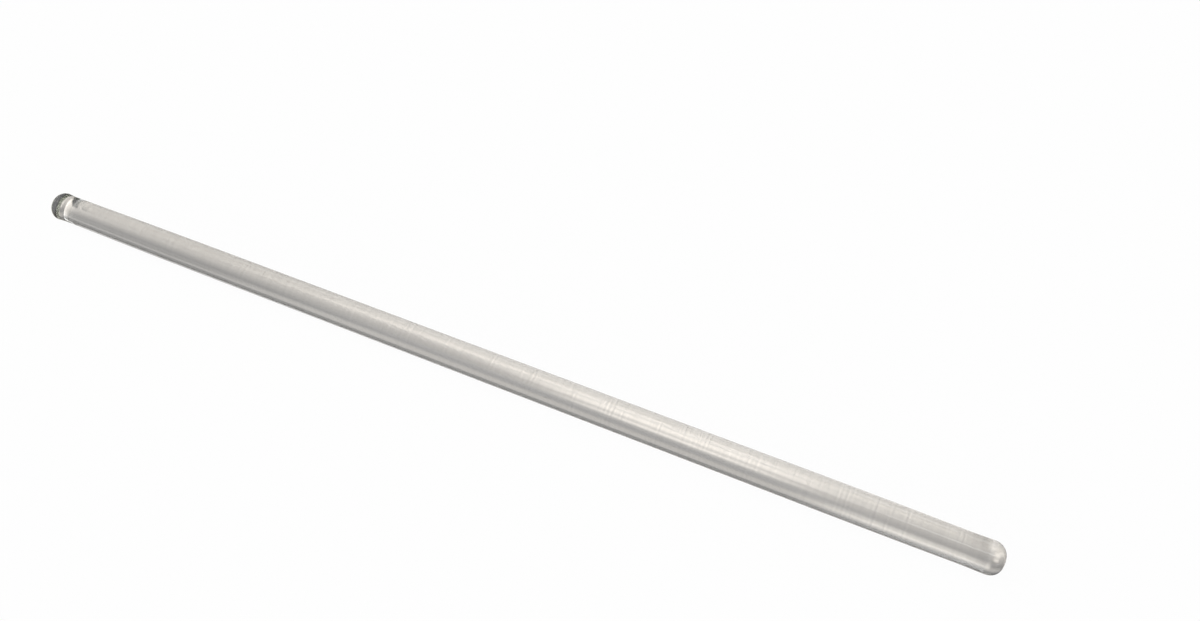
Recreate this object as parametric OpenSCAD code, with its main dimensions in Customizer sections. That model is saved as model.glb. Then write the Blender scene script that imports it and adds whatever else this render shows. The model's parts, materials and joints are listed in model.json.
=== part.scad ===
// Glass stirring rod: one solid length of drawn glass rod, its two cut ends melted
// round in a flame. While it was soft the glass drew in a shallow neck behind each tip.
// The end at -X was melted to a short, square-shouldered tip, and the end at +X is
// rounder. The rod lies along X with its middle at the origin.

/* [Rod] */
// Overall length, from tip to tip
rod_len = 200; // [150:5:300]
// Diameter of the drawn rod between its necks
rod_d = 5.9; // [5:0.1:10]

/* [Short end, at -X] */
// How far the neck is drawn in below the rod, on the radius
short_neck = 0.16; // [0.05:0.01:0.3]
// How far the tip stands out from its neck, on the radius
short_swell = 0.14; // [0.05:0.01:0.2]
// Extra radius on the crown of the tip, which makes it flatter than a half ball
short_blunt = 4; // [1:0.5:8]
// Distance from the axis to the centre of the shoulder arc, which makes the tip squarer
short_shoulder = 1.85; // [0.2:0.05:1.9]
// Length from the crest of the tip to the bottom of the neck
short_fall = 3; // [2:0.5:6]
// Length from the bottom of the neck to where the rod has its full diameter
short_rise = 40; // [20:1:60]

/* [Round end, at +X] */
// How far the neck is drawn in below the rod, on the radius
round_neck = 0.12; // [0.05:0.01:0.3]
// How far the tip stands out from its neck, on the radius
round_swell = 0.06; // [0.05:0.01:0.2]
// Extra radius on the crown of the tip, which makes it flatter than a half ball
round_blunt = 2; // [1:0.5:8]
// Distance from the axis to the centre of the shoulder arc, which makes the tip squarer
round_shoulder = 0.55; // [0.2:0.05:1.9]
// Length from the crest of the tip to the bottom of the neck
round_fall = 4; // [2:0.5:6]
// Length from the bottom of the neck to where the rod has its full diameter
round_rise = 22; // [20:1:60]

/* [Hidden] */
rod_r = rod_d / 2;
arc_steps = 16;
glass_tint = [0.80, 0.82, 0.80, 0.45];

// Points [x, r] along an arc about the centre c, from angle a to angle b
function arc(c, radius, a, b) =
    [for (i = [0:arc_steps])
        let (t = a + (b - a) * i / arc_steps) c + radius * [cos(t), sin(t)]];

// Distance between the centres of two touching arcs, one convex and one concave,
// whose level points are run apart along the rod and drop apart on the radius
function centre_gap(run, drop) = (run * run + drop * drop) / (2 * drop);

// Outline [x, r] of a melted end, with x counted from its tip and each arc tangent to
// the next: crown, shoulder up to the crest and down from it, neck, rise to the rod
function end_outline(neck, swell, blunt, shoulder, fall, rise) =
    let (
        neck_r = rod_r - neck,
        crest_r = neck_r + swell,
        crown_r = crest_r + blunt,
        shoulder_r = crest_r - shoulder,
        crest_x = crown_r - sqrt(pow(blunt + shoulder, 2) - pow(shoulder, 2)),
        neck_x = crest_x + fall,
        hollow_r = centre_gap(fall, swell) - shoulder_r,
        rise_r = centre_gap(rise, neck) - hollow_r,
        crown_c = [crown_r, 0],
        shoulder_c = [crest_x, shoulder],
        hollow_c = [neck_x, neck_r + hollow_r],
        rise_c = [neck_x + rise, rod_r - rise_r],
        crown_end = atan2(shoulder, crest_x - crown_r),
        shoulder_end = atan2(hollow_c[1] - shoulder, fall),
        rise_start = atan2(hollow_c[1] - rise_c[1], -rise)
    )
    concat(
        arc(crown_c, crown_r, 180, crown_end),
        arc(shoulder_c, shoulder_r, crown_end, 90),
        arc(shoulder_c, shoulder_r, 90, shoulder_end),
        arc(hollow_c, hollow_r, 180 + shoulder_end, 180 + rise_start),
        arc(rise_c, rise_r, rise_start, 90)
    );

// The outline's points as [r, x], without the points that two arcs share
function lathe_points(points) =
    [for (i = [0:len(points) - 1])
        if (i == 0 || norm(points[i] - points[i - 1]) > 1e-6) [points[i][1], points[i][0]]];

module glass_rod() {
    short_end = end_outline(short_neck, short_swell, short_blunt, short_shoulder, short_fall, short_rise);
    round_end = end_outline(round_neck, round_swell, round_blunt, round_shoulder, round_fall, round_rise);
    outline = concat(
        [for (p = short_end) [p[0] - rod_len / 2, p[1]]],
        [for (i = [len(round_end) - 1:-1:0]) [rod_len / 2 - round_end[i][0], round_end[i][1]]]
    );
    color(glass_tint)
        rotate([0, 90, 0])
            rotate_extrude($fn = 96)
                polygon(lathe_points(outline));
}

glass_rod();
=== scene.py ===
import json
import math

import bpy
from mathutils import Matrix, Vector


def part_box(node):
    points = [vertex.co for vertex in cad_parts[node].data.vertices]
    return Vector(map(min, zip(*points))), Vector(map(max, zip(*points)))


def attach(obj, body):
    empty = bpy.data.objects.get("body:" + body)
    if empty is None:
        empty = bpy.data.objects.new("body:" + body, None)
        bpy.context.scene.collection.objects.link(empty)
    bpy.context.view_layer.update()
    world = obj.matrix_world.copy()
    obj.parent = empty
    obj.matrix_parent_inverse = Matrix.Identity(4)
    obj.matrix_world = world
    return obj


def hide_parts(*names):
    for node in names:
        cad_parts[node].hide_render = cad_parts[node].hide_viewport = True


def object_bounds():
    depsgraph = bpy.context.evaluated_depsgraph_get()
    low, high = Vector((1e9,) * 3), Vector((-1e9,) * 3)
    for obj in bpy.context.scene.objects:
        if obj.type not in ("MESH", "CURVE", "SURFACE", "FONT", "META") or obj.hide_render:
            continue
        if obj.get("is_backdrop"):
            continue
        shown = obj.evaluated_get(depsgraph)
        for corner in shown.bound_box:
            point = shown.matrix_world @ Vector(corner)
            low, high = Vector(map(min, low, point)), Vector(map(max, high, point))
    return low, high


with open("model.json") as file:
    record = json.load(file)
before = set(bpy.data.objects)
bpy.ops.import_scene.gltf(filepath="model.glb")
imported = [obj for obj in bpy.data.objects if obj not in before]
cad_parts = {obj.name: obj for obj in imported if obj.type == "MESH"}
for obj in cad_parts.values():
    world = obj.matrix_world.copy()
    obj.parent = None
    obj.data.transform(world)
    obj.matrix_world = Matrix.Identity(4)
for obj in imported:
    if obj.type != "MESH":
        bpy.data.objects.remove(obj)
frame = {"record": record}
cadLow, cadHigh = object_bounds()
print("frame loaded")

mm = 0.001  # every size below is in millimetres, and Blender's unit is the metre


def toLinear(hexColour):
    # an sRGB hex colour as the linear RGBA that a socket takes
    parts = [int(hexColour[i:i + 2], 16) / 255 for i in (1, 3, 5)]
    return [c / 12.92 if c <= 0.04045 else ((c + 0.055) / 1.055) ** 2.4 for c in parts] + [1.0]


def addNode(tree, kind, settings=None, inputs=None):
    # one node with its settings; each input is given a value, or a socket to link to
    node = tree.nodes.new(kind)
    for name, value in (settings or {}).items():
        setattr(node, name, value)
    for name, value in (inputs or {}).items():
        if isinstance(value, bpy.types.NodeSocket):
            tree.links.new(value, node.inputs[name])
        else:
            node.inputs[name].default_value = value
    return node


def newMaterial(name):
    material = bpy.data.materials.new(name)
    material.use_nodes = True
    material.node_tree.nodes.clear()
    return material, material.node_tree


# the rod, turned about X from the side line that its two melted ends give
rod = {
    "nodeName": "glass_rod",
    "stepsRound": 192,  # facets round the rod, enough for a clean lens
    "stepsInArc": 24,
    "ringSpacing": 1.0,  # mm between rings on the straight part
    # How the flame left each end, in mm. The neck is drawn in below the rod and the tip swells from it,
    # both on the radius. Blunt flattens the crown, and shoulder squares the tip. Fall runs from the crest
    # of the tip to the neck, and rise from there to the full diameter.
    "shortEnd": {"neck": 0.16, "swell": 0.14, "blunt": 4.0, "shoulder": 1.85, "fall": 3.0, "rise": 40.0},
    "roundEnd": {"neck": 0.12, "swell": 0.06, "blunt": 2.0, "shoulder": 0.55, "fall": 4.0, "rise": 22.0},
}


def arcPoints(centre, radius, start, end, steps):
    angles = [start + (end - start) * i / steps for i in range(steps + 1)]
    return [(centre[0] + radius * math.cos(a), centre[1] + radius * math.sin(a)) for a in angles]


def centreGap(run, drop):
    # distance between the centres of two touching arcs, one convex and one concave,
    # whose level points are run apart along the rod and drop apart on the radius
    return (run * run + drop * drop) / (2 * drop)


def endOutline(end, shaftRadius, steps):
    # (x from the tip, radius) along crown, shoulder, neck and rise, each arc tangent to the next
    neckRadius = shaftRadius - end["neck"]
    crestRadius = neckRadius + end["swell"]
    crownRadius = crestRadius + end["blunt"]
    shoulderRadius = crestRadius - end["shoulder"]
    crestX = crownRadius - math.sqrt((end["blunt"] + end["shoulder"]) ** 2 - end["shoulder"] ** 2)
    neckX = crestX + end["fall"]
    hollowRadius = centreGap(end["fall"], end["swell"]) - shoulderRadius
    riseRadius = centreGap(end["rise"], end["neck"]) - hollowRadius
    crownCentre = (crownRadius, 0.0)
    shoulderCentre = (crestX, end["shoulder"])
    hollowCentre = (neckX, neckRadius + hollowRadius)
    riseCentre = (neckX + end["rise"], shaftRadius - riseRadius)
    crownEnd = math.atan2(end["shoulder"], crestX - crownRadius)
    shoulderEnd = math.atan2(hollowCentre[1] - end["shoulder"], end["fall"])
    riseStart = math.atan2(hollowCentre[1] - riseCentre[1], -end["rise"])
    points = [(0.0, 0.0)]
    for centre, radius, start, stop in (
        (crownCentre, crownRadius, math.pi, crownEnd),
        (shoulderCentre, shoulderRadius, crownEnd, math.pi / 2),
        (shoulderCentre, shoulderRadius, math.pi / 2, shoulderEnd),
        (hollowCentre, hollowRadius, math.pi + shoulderEnd, math.pi + riseStart),
        (riseCentre, riseRadius, riseStart, math.pi / 2),
    ):
        points += arcPoints(centre, radius, start, stop, steps)[1:]  # without the point it shares
    return points


def rodOutline(low, high, shaftRadius):
    # the whole side line of the rod, from the short end to the round end, in mm
    left = [(low + x, r) for x, r in endOutline(rod["shortEnd"], shaftRadius, rod["stepsInArc"])]
    right = [(high - x, r) for x, r in endOutline(rod["roundEnd"], shaftRadius, rod["stepsInArc"])]
    span = right[-1][0] - left[-1][0]
    count = round(span / rod["ringSpacing"])
    middle = [(left[-1][0] + span * i / count, shaftRadius) for i in range(1, count)]
    return left + middle + right[::-1]


def buildRod():
    low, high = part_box(rod["nodeName"])
    shaftRadius = frame["record"]["mounts"][0]["dims"]["r_mm"]
    outline = rodOutline(low[0] / mm, high[0] / mm, shaftRadius)
    steps = rod["stepsRound"]
    turns = [2 * math.pi * i / steps for i in range(steps)]
    # a point at each tip, and a ring of points at every step of the outline between them
    verts = [(outline[0][0] * mm, 0, 0)]
    for x, r in outline[1:-1]:
        verts += [(x * mm, r * mm * math.cos(a), r * mm * math.sin(a)) for a in turns]
    verts.append((outline[-1][0] * mm, 0, 0))
    farTip = len(verts) - 1
    ringStarts = range(1, farTip, steps)
    faces = []
    for i in range(steps):
        j = (i + 1) % steps
        faces.append((0, ringStarts[0] + j, ringStarts[0] + i))
        for here, beyond in zip(ringStarts, ringStarts[1:]):
            faces.append((here + i, here + j, beyond + j, beyond + i))
        faces.append((ringStarts[-1] + i, ringStarts[-1] + j, farTip))
    mesh = bpy.data.meshes.new("stirring_rod")
    mesh.from_pydata(verts, [], faces)
    mesh.validate()
    mesh.shade_smooth()
    piece = bpy.data.objects.new("stirring_rod", mesh)
    bpy.context.scene.collection.objects.link(piece)
    return piece


glass = {
    "ior": 1.52,
    "bodyColour": "#F9FAF6",  # about what is left of white light after bodyDepth of glass
    "bodyDepth": 50.0,  # mm
}


def drawnGlass():
    # drawn and flame-melted, so smooth everywhere and clear all through; the faint yellow-green of the
    # glass shows only where light runs along the rod, as in the dark tip of the short end
    material, tree = newMaterial("drawn soda-lime glass, fire-polished")
    shader = addNode(tree, "ShaderNodeBsdfPrincipled", inputs={
        "Base Color": (1, 1, 1, 1), "Roughness": 0.0, "IOR": glass["ior"], "Transmission Weight": 1.0})
    body = addNode(tree, "ShaderNodeVolumeAbsorption", inputs={
        "Color": toLinear(glass["bodyColour"]), "Density": 1 / (glass["bodyDepth"] * mm)})
    addNode(tree, "ShaderNodeOutputMaterial", inputs={
        "Surface": shader.outputs["BSDF"], "Volume": body.outputs["Volume"]})
    return material


rodPiece = buildRod()
rodPiece.data.materials.append(drawnGlass())
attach(rodPiece, "root")
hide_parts(rod["nodeName"])
print("rod built")

# what the rod lies on
floor = {
    "size": 3000.0,  # mm along each side
    "darkMetal": "#ADA79F",  # in a brush mark
    "paleMetal": "#D2CCC4",  # between the marks
    "roughness": 0.17,
    # Brush marks run along Y, and these are mm across and along one. Real ones are about 0.05 mm apart,
    # too fine to show, so they are drawn coarser.
    "grain": 0.4,
    "grainLength": 20.0,
    "whiteShare": 0.12,  # how much of the white backdrop the glass sees in the plate
    "shadowShare": 0.04,  # how much of the rod's shadow is kept on the white
}

# A white tent about the rod. Rise runs over the rod from the front horizon (0) past the top (90) to the
# rear horizon (180), and side runs along the rod towards +X, both in degrees. A glow of 1 is white paper,
# lamps add to it, and gaps take from it, down to black.
# These numbers are not a designed light. A separate least-squares program worked out the glows, the fade,
# and where each lamp and gap is, how wide and how strong, some of them from starting guesses. They were
# rounded and named afterwards, and the end tube, the front flap and the front soft box were then changed.
tent = {
    "frontGlow": 1.1,
    "rearGlow": 0.0,
    "rearFade": (93.0, 158.0),  # rise where the front glow starts and ends its fall
    "core": 0.4,  # share of each half width below over which a lamp or a gap is even
    "lamps": [
        {"name": "front soft box", "rise": 0, "side": -15, "halfRise": 65, "halfSide": 23, "glow": 1.3},
        {"name": "side tube", "rise": 77, "side": 16, "halfRise": 4, "halfSide": 22, "glow": 2.5},
        {"name": "top tube, front", "rise": 114, "side": -10, "halfRise": 7, "halfSide": 11, "glow": 1.1},
        {"name": "top tube, rear", "rise": 126, "side": -10, "halfRise": 4, "halfSide": 9, "glow": 1.5},
        {"name": "end tube", "rise": 120, "side": -52, "halfRise": 70, "halfSide": 7, "glow": 2.1},
        {"name": "rear lamp", "rise": 146, "side": 4, "halfRise": 12, "halfSide": 8, "glow": 0.86},
        {"name": "rear strip", "rise": 155, "side": -25, "halfRise": 13, "halfSide": 51, "glow": 0.62},
    ],
    "gaps": [
        {"name": "front flap", "rise": 50, "side": 54, "halfRise": 34, "halfSide": 50, "glow": -2.0},
        {"name": "side door", "rise": 115, "side": 56, "halfRise": 69, "halfSide": 50, "glow": -2.5},
        {"name": "rear seam", "rise": 152, "side": -42, "halfRise": 6, "halfSide": 10, "glow": -0.46},
    ],
}


def brushedPlate():
    # brushed metal with a satin sheen: white to the camera with a little of the rod's shadow on it, and
    # under the glass a soft grey mirror of the tent, crossed by faint marks
    material, tree = newMaterial("brushed aluminium bench plate, satin")
    place = addNode(tree, "ShaderNodeNewGeometry")
    marks = addNode(tree, "ShaderNodeVectorMath", {"operation": "MULTIPLY"}, {
        0: place.outputs["Position"], 1: (1 / (floor["grain"] * mm), 1 / (floor["grainLength"] * mm), 0)})
    brush = addNode(tree, "ShaderNodeTexNoise", {"noise_dimensions": "2D"}, {
        "Vector": marks.outputs[0], "Scale": 1.0, "Detail": 1.0, "Roughness": 0.5})
    metal = addNode(tree, "ShaderNodeMix", {"data_type": "RGBA"}, {
        0: brush.outputs["Fac"], 6: toLinear(floor["darkMetal"]), 7: toLinear(floor["paleMetal"])})
    plate = addNode(tree, "ShaderNodeBsdfPrincipled", inputs={
        "Base Color": metal.outputs[2], "Metallic": 1.0, "Roughness": floor["roughness"]})
    path = addNode(tree, "ShaderNodeLightPath")
    white = addNode(tree, "ShaderNodeEmission", inputs={"Color": (1, 1, 1, 1), "Strength": 1.0})
    matt = addNode(tree, "ShaderNodeBsdfDiffuse", inputs={"Color": (1, 1, 1, 1)})
    seen = addNode(tree, "ShaderNodeMixShader", inputs={
        0: floor["shadowShare"], 1: white.outputs[0], 2: matt.outputs[0]})
    throughGlass = addNode(tree, "ShaderNodeMath", {"operation": "MAXIMUM"}, {
        0: path.outputs["Is Glossy Ray"], 1: path.outputs["Is Transmission Ray"]})
    share = addNode(tree, "ShaderNodeMath", {"operation": "MULTIPLY"}, {
        0: throughGlass.outputs[0], 1: floor["whiteShare"]})
    mirrored = addNode(tree, "ShaderNodeMixShader", inputs={
        0: share.outputs[0], 1: plate.outputs[0], 2: white.outputs[0]})
    surface = addNode(tree, "ShaderNodeMixShader", inputs={
        0: path.outputs["Is Camera Ray"], 1: mirrored.outputs[0], 2: seen.outputs[0]})
    addNode(tree, "ShaderNodeOutputMaterial", inputs={"Surface": surface.outputs[0]})
    return material


def addFloor(z):
    half = floor["size"] / 2 * mm
    mesh = bpy.data.meshes.new("floor")
    corners = [(-half, -half, z), (half, -half, z), (half, half, z), (-half, half, z)]
    mesh.from_pydata(corners, [], [(0, 1, 2, 3)])
    mesh.materials.append(brushedPlate())
    card = bpy.data.objects.new("floor", mesh)
    bpy.context.scene.collection.objects.link(card)
    card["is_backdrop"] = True


def addTent():
    world = bpy.data.worlds.new("white tent")
    bpy.context.scene.world = world
    world.use_nodes = True
    tree = world.node_tree
    tree.nodes.clear()
    # the way that a ray leaves by, as rise and side in degrees
    look = addNode(tree, "ShaderNodeTexCoord")
    way = addNode(tree, "ShaderNodeSeparateXYZ", inputs={0: look.outputs["Generated"]})
    toFront = addNode(tree, "ShaderNodeMath", {"operation": "MULTIPLY"}, {0: way.outputs["Y"], 1: -1.0})
    rise = addNode(tree, "ShaderNodeMath", {"operation": "ARCTAN2"}, {
        0: way.outputs["Z"], 1: toFront.outputs[0]})
    side = addNode(tree, "ShaderNodeMath", {"operation": "ARCSINE"}, {0: way.outputs["X"]})
    turned = addNode(tree, "ShaderNodeCombineXYZ", inputs={0: rise.outputs[0], 1: side.outputs[0]})
    place = addNode(tree, "ShaderNodeVectorMath", {"operation": "SCALE"}, {
        0: turned.outputs[0], "Scale": math.degrees(1)})
    riseDegrees = addNode(tree, "ShaderNodeMath", {"operation": "DEGREES"}, {0: rise.outputs[0]})
    glow = addNode(tree, "ShaderNodeMapRange", {"interpolation_type": "SMOOTHSTEP"}, {
        "Value": riseDegrees.outputs[0], "From Min": tent["rearFade"][0], "From Max": tent["rearFade"][1],
        "To Min": tent["frontGlow"], "To Max": tent["rearGlow"]})
    # each patch is even in its core and fades to nothing at its edge, both ways
    for patch in tent["lamps"] + tent["gaps"]:
        offset = addNode(tree, "ShaderNodeVectorMath", {"operation": "SUBTRACT", "label": patch["name"]}, {
            0: place.outputs[0], 1: (patch["rise"], patch["side"], 0)})
        away = addNode(tree, "ShaderNodeVectorMath", {"operation": "ABSOLUTE"}, {0: offset.outputs[0]})
        half = Vector((patch["halfRise"], patch["halfSide"], 1))
        fades = addNode(tree, "ShaderNodeMapRange", {
            "data_type": "FLOAT_VECTOR", "interpolation_type": "SMOOTHSTEP"}, {
            6: away.outputs[0], 7: half * tent["core"], 8: half, 9: (1, 1, 0), 10: (0, 0, 0)})
        share = addNode(tree, "ShaderNodeSeparateXYZ", inputs={0: fades.outputs[1]})
        both = addNode(tree, "ShaderNodeMath", {"operation": "MULTIPLY"}, {
            0: share.outputs[0], 1: share.outputs[1]})
        glow = addNode(tree, "ShaderNodeMath", {"operation": "MULTIPLY_ADD"}, {
            0: both.outputs[0], 1: patch["glow"], 2: glow.outputs[0]})
    glow = addNode(tree, "ShaderNodeMath", {"operation": "MAXIMUM"}, {0: glow.outputs[0], 1: 0.0})
    light = addNode(tree, "ShaderNodeBackground", inputs={
        "Color": (1, 1, 1, 1), "Strength": glow.outputs[0]})
    white = addNode(tree, "ShaderNodeBackground", inputs={"Color": (1, 1, 1, 1), "Strength": 1.0})
    path = addNode(tree, "ShaderNodeLightPath")
    seen = addNode(tree, "ShaderNodeMixShader", inputs={
        0: path.outputs["Is Camera Ray"], 1: light.outputs[0], 2: white.outputs[0]})
    addNode(tree, "ShaderNodeOutputWorld", inputs={"Surface": seen.outputs[0]})


addFloor(min(cadLow[2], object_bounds()[0][2]))
addTent()
print("studio lit")

camera = {
    "azimuth": 25.17,  # degrees round from the front
    "elevation": 48.0,  # degrees above the floor
    "aim": (18.0, 21.7, 0.0),  # mm, the point in the middle of the view
    "distance": 204.9,  # mm from there
    "lens": 31.5,
    "sensor": 36.0,
    "nearest": 10.0,  # mm
    "farthest": 10000.0,
    "bounces": 64,  # light that runs the whole length of the rod is mirrored inside it dozens of times
}
lens = bpy.data.cameras.new("camera")
lens.lens = camera["lens"]
lens.sensor_width = camera["sensor"]
lens.clip_start = camera["nearest"] * mm
lens.clip_end = camera["farthest"] * mm
viewer = bpy.data.objects.new("camera", lens)
turn, rise = math.radians(camera["azimuth"]), math.radians(camera["elevation"])
back = Vector((math.sin(turn) * math.cos(rise), -math.cos(turn) * math.cos(rise), math.sin(rise)))
viewer.location = (Vector(camera["aim"]) + back * camera["distance"]) * mm
viewer.rotation_mode = "QUATERNION"
viewer.rotation_quaternion = (-back).to_track_quat("-Z", "Y")
bpy.context.scene.collection.objects.link(viewer)
bpy.context.scene.camera = viewer
bpy.context.scene.view_settings.view_transform = "Standard"
for limit in ("max_bounces", "glossy_bounces", "transmission_bounces"):
    setattr(bpy.context.scene.cycles, limit, camera["bounces"])
print("camera set")
